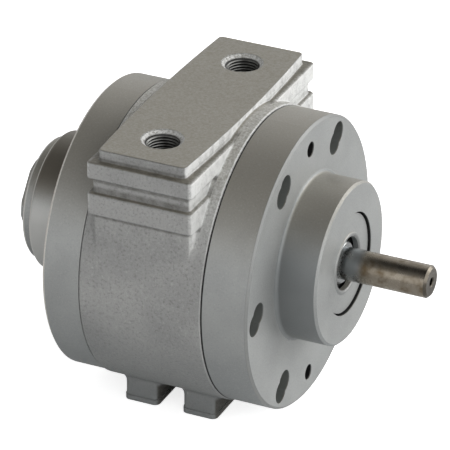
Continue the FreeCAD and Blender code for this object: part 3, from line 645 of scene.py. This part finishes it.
@dataclass(frozen=True)
class TurnedPaint:
    """Silver-grey paint over turned faces, with a painted edge tone on the broken edges: painted shade where
    it is darker and a painted highlight where it is lighter.

    Ramps named share run over a noise, and those named slope over the normal.
    """

    name: str
    axis: Axis
    edges: tuple[Edge, ...] = ()
    shaded_hollows: tuple[ShadedHollow, ...] = ()
    light_tints: tuple[LightTint, ...] = ()
    metallic: float = 0.40
    roughness: Ramp = Ramp(0.3, 0.7, 0.48, 0.38)

    cloud: Grain = Grain(30.0, 3.0)
    fine: Grain = Grain(1.0, 4.0, 0.65)
    marks: Grain = Grain(0.5, 2.0, 0.5)

    shade: Colour = (0.305, 0.313, 0.308)
    light: Colour = (0.340, 0.348, 0.341)
    cloud_share: Ramp = Ramp(0.35, 0.65)
    dust: Colour = (0.285, 0.262, 0.215)
    dust_slope: Ramp = Ramp(0.3, 0.85, 0.0, 0.7)
    # Painted shade on faces that turn downward.
    lower_shade: Colour = (0.235, 0.250, 0.252)
    lower_shade_slope: Ramp = Ramp(0.1, -0.7, 0.0, 0.8)
    speck: Colour = (0.46, 0.465, 0.455)
    speck_share: Ramp = Ramp(0.52, 0.80, 0.0, 0.35)
    dull: Colour = DULL_SPECK_AND_SHADE_TONE
    dull_share: Ramp = Ramp(0.46, 0.25, 0.0, 0.35)
    # The edge tone is painted light. This darker default is painted shade on edges that catch much light; a
    # lighter tone given in its place is a painted highlight.
    edge: Colour = (0.24, 0.245, 0.24)
    edge_share: Ramp = Ramp(0.2, 0.6, 0.5, 1.0)
    joint: Band = Band(JOINT_X, 0.5)

    mark_relief: float = 0.5
    fine_relief: float = 0.5
    relief_depth: float = 0.14
    relief_strength: float = 0.6

    def build(self) -> bpy.types.Material:
        """Build the material.

        Returns:
            The finished material.
        """
        board = NodeBoard(self.name)
        fine = board.noise(self.fine)
        radius = board.radius_about(self.axis)
        tone = self.details(board, fine, radius, self.coat(board, fine))
        marks = board.noise(self.marks, board.ring_place(radius))
        relief = board.plus(
            board.times(marks, self.mark_relief), board.times(fine, self.fine_relief))
        normal = board.bump(relief, self.relief_depth, self.relief_strength)
        return board.finish(tone, board.map(fine, self.roughness), normal, self.metallic)

    def coat(self, board: NodeBoard, fine: Socket) -> Socket:
        """Clouded paint with dust above, painted shade below, and light and dull specks.

        Args:
            board: The node tree.
            fine: The fine noise.

        Returns:
            The colour.
        """
        cloud = board.map(board.noise(self.cloud), self.cloud_share)
        tone = board.mix(cloud, self.shade, self.light)
        tone = board.mix(board.map(board.up, self.dust_slope), tone, self.dust)
        # Painted shade on faces that turn downward.
        tone = board.mix(board.map(board.up, self.lower_shade_slope), tone, self.lower_shade)
        tone = board.mix(board.map(fine, self.speck_share), tone, self.speck)
        return board.mix(board.map(fine, self.dull_share), tone, self.dull)

    def details(self, board: NodeBoard, fine: Socket, radius: Socket, tone: Socket) -> Socket:
        """Painted light on the broken edges and in the tinted stretches, painted shade inside the holes, and
        the dark joint line.

        Args:
            board: The node tree.
            fine: The fine noise.
            radius: Distance from the axis.
            tone: Colour so far.

        Returns:
            The colour.
        """
        # Painted light on each broken edge, in the edge tone.
        for edge in self.edges:
            edge_tone_share = board.times(edge.mask(board, radius), board.map(fine, self.edge_share))
            tone = board.mix(edge_tone_share, tone, self.edge)
        # Painted light and shade in each tinted stretch.
        for tint in self.light_tints:
            tone = board.mix(tint.mask(board), tone, tint.colour)
        # Painted shade inside each hole.
        for hollow in self.shaded_hollows:
            tone = board.mix(hollow.mask(board), tone, hollow.colour)
        return board.mix(board.within(board.along, self.joint), tone, JOINT_AND_HOLE_SHADE_TONE)


@dataclass(frozen=True)
class Zone:
    """A stretch along X with a tone of its own."""

    band: Band
    colour: Colour


@dataclass(frozen=True)
class Steel:
    """Bare or treated steel with fine marks round the shaft axis and a patchy film."""

    name: str
    bright: Colour
    film: Colour
    film_share: float
    rough_low: float
    rough_high: float
    zones: tuple[Zone, ...] = ()
    hole_radius: float = 0.0
    # Painted shade inside the centre hole.
    hole_shade: Colour = (0.02, 0.018, 0.015)
    marks: Grain = Grain(0.35, 3.0, 0.6)
    patch: Grain = Grain(9.0, 4.0, 0.6)
    film_start: float = 0.45
    film_end: float = 0.7
    zone_share: Ramp = Ramp(0.3, 0.6, 0.6, 0.95)
    relief_depth: float = 0.03
    relief_strength: float = 0.35
    metallic: float = 1.0

    def build(self) -> bpy.types.Material:
        """Build the material.

        Returns:
            The finished material.
        """
        board = NodeBoard(self.name)
        radius = board.radius_about(Axis.SHAFT)
        marks = board.noise(self.marks, board.ring_place(radius))
        patch = board.noise(self.patch)
        film = board.map(patch, Ramp(self.film_start, self.film_end, 0.0, self.film_share))
        tone = board.mix(film, self.bright, self.film)
        for zone in self.zones:
            mask = board.within(board.along, zone.band)
            share = board.times(mask, board.map(patch, self.zone_share))
            tone = board.mix(share, tone, zone.colour)
        # Painted shade inside the centre hole.
        if self.hole_radius > 0.0:
            tone = board.mix(board.up_to(radius, self.hole_radius), tone, self.hole_shade)
        rough = board.map(patch, Ramp(0.3, 0.7, self.rough_low, self.rough_high))
        normal = board.bump(marks, self.relief_depth, self.relief_strength)
        return board.finish(tone, rough, normal, self.metallic)


@dataclass(frozen=True)
class Plain:
    """A dull, finely grained material such as rubber, fibre sheet or iron."""

    name: str
    base: Colour
    variation: Colour
    rough: float
    grain: Grain = Grain(1.0)
    relief_depth: float = 0.05
    metallic: float = 0.0
    tone_share: Ramp = Ramp(0.35, 0.65)
    rough_gain: float = 0.1
    relief_strength: float = 0.6

    def build(self) -> bpy.types.Material:
        """Build the material.

        Returns:
            The finished material.
        """
        board = NodeBoard(self.name)
        grain = board.noise(self.grain)
        tone = board.mix(board.map(grain, self.tone_share), self.base, self.variation)
        rough = board.map(grain, Ramp(0.3, 0.7, self.rough, self.rough + self.rough_gain))
        normal = board.bump(grain, self.relief_depth, self.relief_strength)
        return board.finish(tone, rough, normal, self.metallic)


@dataclass
class Castings:
    """The painted shell: body, end plates and rear cap."""

    body: Finish = CastPaint()
    front: Finish = TurnedPaint(
        name="front_plate_paint",
        axis=Axis.BODY,
        # Painted shade on the plate's rim edge.
        edges=(Edge(PLATE_FACE_X - 0.6, PLATE_RIM_RADIUS),),
        shaded_hollows=(
            # Painted shade inside the pockets, and near-black painted shade in the holes near the middle
            # line.
            ShadedHollow(FRONT_POCKET_END_X, PLATE_FACE_X - HOLE_LIP, PLATE_HOLE_REACH, Axis.BODY,
                   POCKET_SHADE_TONE),
            ShadedHollow(FRONT_POCKET_END_X, PLATE_FACE_X - HOLE_LIP, PLATE_HOLE_REACH, Axis.BODY,
                   JOINT_AND_HOLE_SHADE_TONE, HALF_FACE_HOLE),
            # Painted shade in the gap round the seal cover.
            ShadedHollow(low=-24.0, high=-0.5, reach=30.5, axis=Axis.SHAFT, colour=JOINT_AND_HOLE_SHADE_TONE),
        ),
        # The boss's side is given painted shade everywhere but on top, where it turns towards the light
        # above.
        light_tints=(
            LightTint(low=PLATE_FACE_X + 0.25, high=-1.5, inner_radius=47.6, colour=DULL_SPECK_AND_SHADE_TONE,
                 slope=Ramp(0.95, 0.25, 0.0, 0.9)),
        ),
    )
    rear: Finish = TurnedPaint(
        name="rear_plate_paint",
        axis=Axis.BODY,
        # A painted highlight on the plate's rim edge.
        edges=(Edge(REAR_FACE_X + 0.6, PLATE_RIM_RADIUS),),
        edge=(0.66, 0.63, 0.58),
        shaded_hollows=(
            # Painted shade inside the pockets, and near-black painted shade in the holes near the middle
            # line.
            ShadedHollow(REAR_FACE_X + HOLE_LIP, REAR_POCKET_END_X, PLATE_HOLE_REACH, Axis.BODY,
                   POCKET_SHADE_TONE),
            ShadedHollow(REAR_FACE_X + HOLE_LIP, REAR_POCKET_END_X, PLATE_HOLE_REACH, Axis.BODY,
                   JOINT_AND_HOLE_SHADE_TONE, HALF_FACE_HOLE),
        ),
        # Painted light on the hub: a painted highlight below and painted shade in brown on top. A painted
        # highlight also runs round its end, since every slope is past that ramp.
        light_tints=(
            LightTint(low=REAR_HUB_END_X + 0.5, high=REAR_FACE_X - 0.25, inner_radius=40.9,
                 colour=(0.56, 0.56, 0.54), slope=Ramp(0.60, 0.20, 0.0, 0.75)),
            LightTint(low=REAR_HUB_END_X + 0.5, high=REAR_FACE_X - 0.25, inner_radius=40.9,
                 colour=(0.130, 0.115, 0.090), slope=Ramp(0.35, 0.75, 0.0, 0.85)),
            LightTint(low=REAR_HUB_END_X + 0.1, high=REAR_HUB_END_X + 1.3, inner_radius=38.5,
                 colour=(0.60, 0.58, 0.54), slope=Ramp(-1.2, -1.1, 0.0, 0.7)),
        ),
    )
    cap: Finish = TurnedPaint(
        name="cap_paint",
        axis=Axis.SHAFT,
        # A painted highlight on the flange's broken edge.
        edges=(Edge(CAP_FLANGE_X + 0.5, 36.0),),
        edge=(0.56, 0.55, 0.52),
    )

    def dress(self, nodes: dict[str, bpy.types.Object]) -> None:
        """Give each casting its paint.

        Args:
            nodes: The solids by name.
        """
        put_on(nodes["body_housing"], self.body.build())
        put_on(nodes["front_end_plate"], self.front.build())
        put_on(nodes["rear_end_plate"], self.rear.build())
        put_on(nodes["rear_cap"], self.cap.build())


@dataclass
class PortThreads:
    """Thread turns in the two ports. Sizes are in millimetres."""

    root_radius: float = 9.32
    crest_height: float = 0.95
    root_half: float = 0.55
    crest_half: float = 0.12
    pitch: float = 1.814
    top: float = BLOCK_TOP_Z - 2.5
    turns: float = 8.0
    steps: int = 48
    fade_steps: float = 12.0
    finish: Finish = Steel(
        "port_thread_steel", (0.24, 0.24, 0.23), (0.06, 0.056, 0.05), 0.7, 0.30, 0.50)

    def points(self, y: float) -> list[Point]:
        """Corners of the ridge's profile at every step down the helix.

        Args:
            y: Place of the port across the block.

        Returns:
            The corners in metres, four for each step. The ridge runs out into the wall at both ends.
        """
        profile = ((0.0, self.root_half), (self.crest_height, self.crest_half),
                   (self.crest_height, -self.crest_half), (0.0, -self.root_half))
        count = int(self.turns * self.steps)
        corners: list[Point] = []
        for index in range(count + 1):
            angle = 2 * math.pi * index / self.steps
            drop = self.pitch * index / self.steps
            fade = min(1.0, index / self.fade_steps, (count - index) / self.fade_steps)
            for inward, rise in profile:
                radius = self.root_radius - inward * fade
                corners.append(((PORT_X + radius * math.cos(angle)) * MM,
                                (y + radius * math.sin(angle)) * MM,
                                (self.top - drop + rise) * MM))
        return corners

    def ridge(self, name: str, y: float) -> bpy.types.Object:
        """Helical ridge that stands inward from the wall of one port.

        Args:
            name: Name of the piece.
            y: Place of the port across the block.

        Returns:
            The new object.
        """
        corners = self.points(y)
        size = 4
        faces: list[tuple[int, int, int, int]] = []
        for start in range(0, len(corners) - size, size):
            for first in range(start, start + size - 1):
                faces.append((first, first + 1, first + 1 + size, first + size))
        mesh = bpy.data.meshes.new(name)
        mesh.from_pydata(corners, [], faces)
        mesh.polygons.foreach_set("use_smooth", [True] * len(mesh.polygons))
        piece = bpy.data.objects.new(name, mesh)
        bpy.context.scene.collection.objects.link(piece)
        return piece

    def build(self) -> None:
        """Build the threads of both ports."""
        material = self.finish.build()
        for name, y in (("port_thread_a", -PORT_Y), ("port_thread_b", PORT_Y)):
            piece = self.ridge(name, y)
            put_on(piece, material)
            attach(piece, "housing")
            LOG.info("built %s", name)


@dataclass(frozen=True)
class Group:
    """Pieces that share one finish."""

    finish: Finish
    pieces: tuple[str, ...]


@dataclass
class RunningGear:
    """Everything that turns, and the small parts round it."""

    groups: tuple[Group, ...] = (
        Group(Steel("polished_shaft", (0.270, 0.240, 0.195), (0.125, 0.090, 0.050), 0.85, 0.24, 0.36,
                    zones=(Zone(Band.between(-4.0, 6.0, 6.0), (0.33, 0.35, 0.36)),
                           Zone(Band.between(48.9, 52.0, 0.8), (0.10, 0.090, 0.075))),
                    hole_radius=2.6),
              ("drive_shaft",)),
        # Painted shade on the seal cover's inner broken edge.
        Group(TurnedPaint("cover_paint", Axis.SHAFT, (Edge(-1.3, 17.0),)),
              ("seal_cover",)),
        Group(Plain("rotor_iron", (0.13, 0.13, 0.13), (0.20, 0.20, 0.20), 0.42,
                    relief_depth=0.03, metallic=0.8),
              ("rotor",)),
        Group(Plain("seal_rubber", RUBBER_TONE, WORN_RUBBER_TONE, 0.55),
              ("shaft_seal",)),
        Group(Plain("cap_seal_rubber", RUBBER_TONE, WORN_RUBBER_TONE, 0.55),
              ("cap_seal",)),
        Group(Plain("front_gasket_sheet", (0.010, 0.010, 0.010), (0.02, 0.02, 0.02), 0.8),
              ("front_gasket",)),
        Group(Plain("rear_gasket_sheet", (0.10, 0.10, 0.10), (0.16, 0.16, 0.15), 0.8),
              ("rear_gasket",)),
        Group(Steel("bearing_steel", (0.60, 0.60, 0.60), (0.45, 0.45, 0.45), 0.2, 0.10, 0.2),
              ("front_bearing_outer_race", "front_bearing_inner_race", "front_bearing_balls",
               "rear_bearing_outer_race", "rear_bearing_inner_race", "rear_bearing_balls",
               "front_dowels", "rear_dowels", "push_pins")),
        Group(Steel("cage_brass", (0.60, 0.44, 0.18), (0.40, 0.28, 0.10), 0.3, 0.25, 0.4),
              ("front_bearing_cage", "rear_bearing_cage")),
        Group(Steel("spring_steel", (0.16, 0.16, 0.16), (0.08, 0.08, 0.08), 0.4, 0.3, 0.45),
              ("front_retaining_ring", "rear_retaining_ring", "preload_spring")),
        Group(Steel("black_oxide", (0.055, 0.055, 0.058), (0.03, 0.03, 0.03), 0.4, 0.35, 0.5),
              ("front_plate_screws", "rear_plate_screws")),
        Group(Plain("vane_laminate", (0.17, 0.085, 0.035), (0.24, 0.13, 0.06), 0.5,
                    Grain(0.6), 0.04),
              ("vane_1", "vane_2", "vane_3", "vane_4")),
    )

    def dress(self, nodes: dict[str, bpy.types.Object]) -> None:
        """Give each inner piece its finish.

        Args:
            nodes: The solids by name.
        """
        for group in self.groups:
            material = group.finish.build()
            for name in group.pieces:
                put_on(nodes[name], material)


@dataclass(frozen=True)
class SkyPanel:
    """One soft bright part of the sky. The ramp runs over the cosine to its direction and gives its level."""

    direction: Point
    glow: Ramp


@dataclass(frozen=True)
class Lamp:
    """One soft square lamp. Its place and size are in metres and its power in watts."""

    name: str
    place: Point
    size: float
    power: float


@dataclass
class Studio:
    """Camera, white floor and soft light. The camera's lengths are in millimetres."""

    azimuth: float = 25.01
    elevation: float = 28.58
    distance: float = 2285.09
    aside: float = -47.0
    above: float = 21.05
    aim: Point = (-26.4, 0.0, BODY_AXIS_Z)
    focal_pixels: float = 4004.23
    frame_pixels: float = 450.0
    sensor: float = 36.0
    nearest: float = 0.1
    farthest: float = 50.0

    floor_half: float = 12.0
    floor_grain: Grain = Grain(60.0, 2.0)
    floor_tones: tuple[Colour, Colour] = ((0.86, 0.86, 0.86), (0.88, 0.88, 0.88))
    floor_roughness: float = 0.9
    floor_fill: float = 0.75

    sky: tuple[SkyPanel, ...] = (
        SkyPanel((0.0, 1.0, 0.0), Ramp(0.1, 0.9, 0.0, 0.9)),
        SkyPanel((0.0, -1.0, 0.0), Ramp(0.1, 0.9, 0.0, 0.35)),
        SkyPanel((-1.0, 0.0, 0.0), Ramp(0.1, 0.9, 0.0, 0.2)),
        SkyPanel((1.0, 0.0, 0.0), Ramp(0.1, 0.9, 0.0, 1.9)),
    )
    lamp_target: Point = (-0.075, 0.0, 0.0)
    lamps: tuple[Lamp, ...] = (
        Lamp("near_panel", (-0.9, -1.6, 0.5), 1.4, 5.6),
        Lamp("far_panel", (1.2, 1.4, 0.5), 1.2, 10.0),
    )

    def directions(self) -> tuple[Vector, Vector, Vector]:
        """Unit vectors of the view.

        Returns:
            The vectors towards the camera, to its right and to its top.
        """
        turn, lift = math.radians(self.azimuth), math.radians(self.elevation)
        back = Vector((math.sin(turn) * math.cos(lift),
                       -math.cos(turn) * math.cos(lift),
                       math.sin(lift)))
        right = Vector((math.cos(turn), math.sin(turn), 0.0))
        return back, right, back.cross(right)

    def place_camera(self) -> None:
        """Put the camera where the photo was taken from."""
        back, right, top = self.directions()
        data = bpy.data.cameras.new("camera")
        data.sensor_width = self.sensor
        data.lens = self.focal_pixels * self.sensor / self.frame_pixels
        data.clip_start = self.nearest
        data.clip_end = self.farthest
        camera = bpy.data.objects.new("camera", data)
        shift = back * self.distance + right * self.aside + top * self.above
        camera.location = (Vector(self.aim) + shift) * MM
        camera.rotation_mode = "QUATERNION"
        camera.rotation_quaternion = (-back).to_track_quat("-Z", "Y")
        bpy.context.scene.collection.objects.link(camera)
        bpy.context.scene.camera = camera

    def floor_finish(self) -> bpy.types.Material:
        """White floor that glows for the camera alone, so that it is white and keeps a faint shadow.

        Returns:
            The finished material.
        """
        board = NodeBoard("white_floor")
        nodes, links = board.tree.nodes, board.tree.links
        tone = board.mix(board.noise(self.floor_grain), *self.floor_tones)
        board.put(board.shader.inputs["Base Color"], tone)
        board.shader.inputs["Roughness"].default_value = self.floor_roughness
        rays = nodes.new("ShaderNodeLightPath")
        fill = nodes.new("ShaderNodeEmission")
        links.new(board.times(rays.outputs["Is Camera Ray"], self.floor_fill),
                  fill.inputs["Strength"])
        both = nodes.new("ShaderNodeAddShader")
        links.new(board.shader.outputs[0], both.inputs[0])
        links.new(fill.outputs[0], both.inputs[1])
        links.new(both.outputs[0], nodes["Material Output"].inputs[0])
        return board.material

    def lay_floor(self) -> None:
        """Lay the white floor under the feet."""
        half, z = self.floor_half, FLOOR_Z * MM
        corners = [(-half, -half, z), (half, -half, z), (half, half, z), (-half, half, z)]
        mesh = bpy.data.meshes.new("floor")
        mesh.from_pydata(corners, [], [(0, 1, 2, 3)])
        floor = bpy.data.objects.new("floor", mesh)
        bpy.context.scene.collection.objects.link(floor)
        mesh.materials.append(self.floor_finish())

    def light_world(self) -> None:
        """Light the sky's panels, and show the camera plain white past the floor."""
        world = bpy.data.worlds.new("studio")
        bpy.context.scene.world = world
        world.use_nodes = True
        nodes, links = world.node_tree.nodes, world.node_tree.links
        coordinates = nodes.new("ShaderNodeTexCoord")
        rays = nodes.new("ShaderNodeLightPath")
        total = rays.outputs["Is Camera Ray"]
        for panel in self.sky:
            towards = nodes.new("ShaderNodeVectorMath")
            towards.operation = "DOT_PRODUCT"
            links.new(coordinates.outputs["Generated"], towards.inputs[0])
            towards.inputs[1].default_value = panel.direction
            glow = nodes.new("ShaderNodeMapRange")
            glow.interpolation_type = "SMOOTHSTEP"
            glow.inputs["From Min"].default_value = panel.glow.low
            glow.inputs["From Max"].default_value = panel.glow.high
            glow.inputs["To Min"].default_value = panel.glow.to_low
            glow.inputs["To Max"].default_value = panel.glow.to_high
            links.new(towards.outputs["Value"], glow.inputs["Value"])
            added = nodes.new("ShaderNodeMath")
            added.operation = "ADD"
            links.new(total, added.inputs[0])
            links.new(glow.outputs["Result"], added.inputs[1])
            total = added.outputs[0]
        background = nodes["Background"]
        background.inputs["Color"].default_value = (1.0, 1.0, 1.0, 1.0)
        links.new(total, background.inputs["Strength"])

    def add_lamp(self, lamp: Lamp) -> None:
        """Add one soft lamp that faces the middle of the motor.

        Args:
            lamp: Its place, size and power.
        """
        data = bpy.data.lights.new(lamp.name, "AREA")
        data.size = lamp.size
        data.energy = lamp.power
        piece = bpy.data.objects.new(lamp.name, data)
        piece.location = lamp.place
        aim = Vector(self.lamp_target) - Vector(lamp.place)
        piece.rotation_mode = "QUATERNION"
        piece.rotation_quaternion = aim.to_track_quat("-Z", "Y")
        bpy.context.scene.collection.objects.link(piece)

    def build(self) -> None:
        """Set up the whole studio."""
        self.place_camera()
        self.lay_floor()
        self.light_world()
        for lamp in self.lamps:
            self.add_lamp(lamp)
        bpy.context.scene.view_settings.view_transform = "Standard"


def put_on(piece: bpy.types.Object, material: bpy.types.Material) -> None:
    """Give a piece one material all over.

    Args:
        piece: The mesh object.
        material: Its finish.
    """
    slots = piece.data.materials
    if len(slots) == 0:
        slots.append(material)
    for index in range(len(slots)):
        slots[index] = material


def main() -> None:
    """Build the studio and dress the motor, piece by piece."""
    logging.basicConfig(level=logging.INFO, format="%(name)s: %(message)s")
    Studio().build()
    Castings().dress(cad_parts)
    RunningGear().dress(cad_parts)
    PortThreads().build()
    for name in sorted(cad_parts):
        LOG.info("dressed %s", name)


if __name__ == "__main__":
    main()
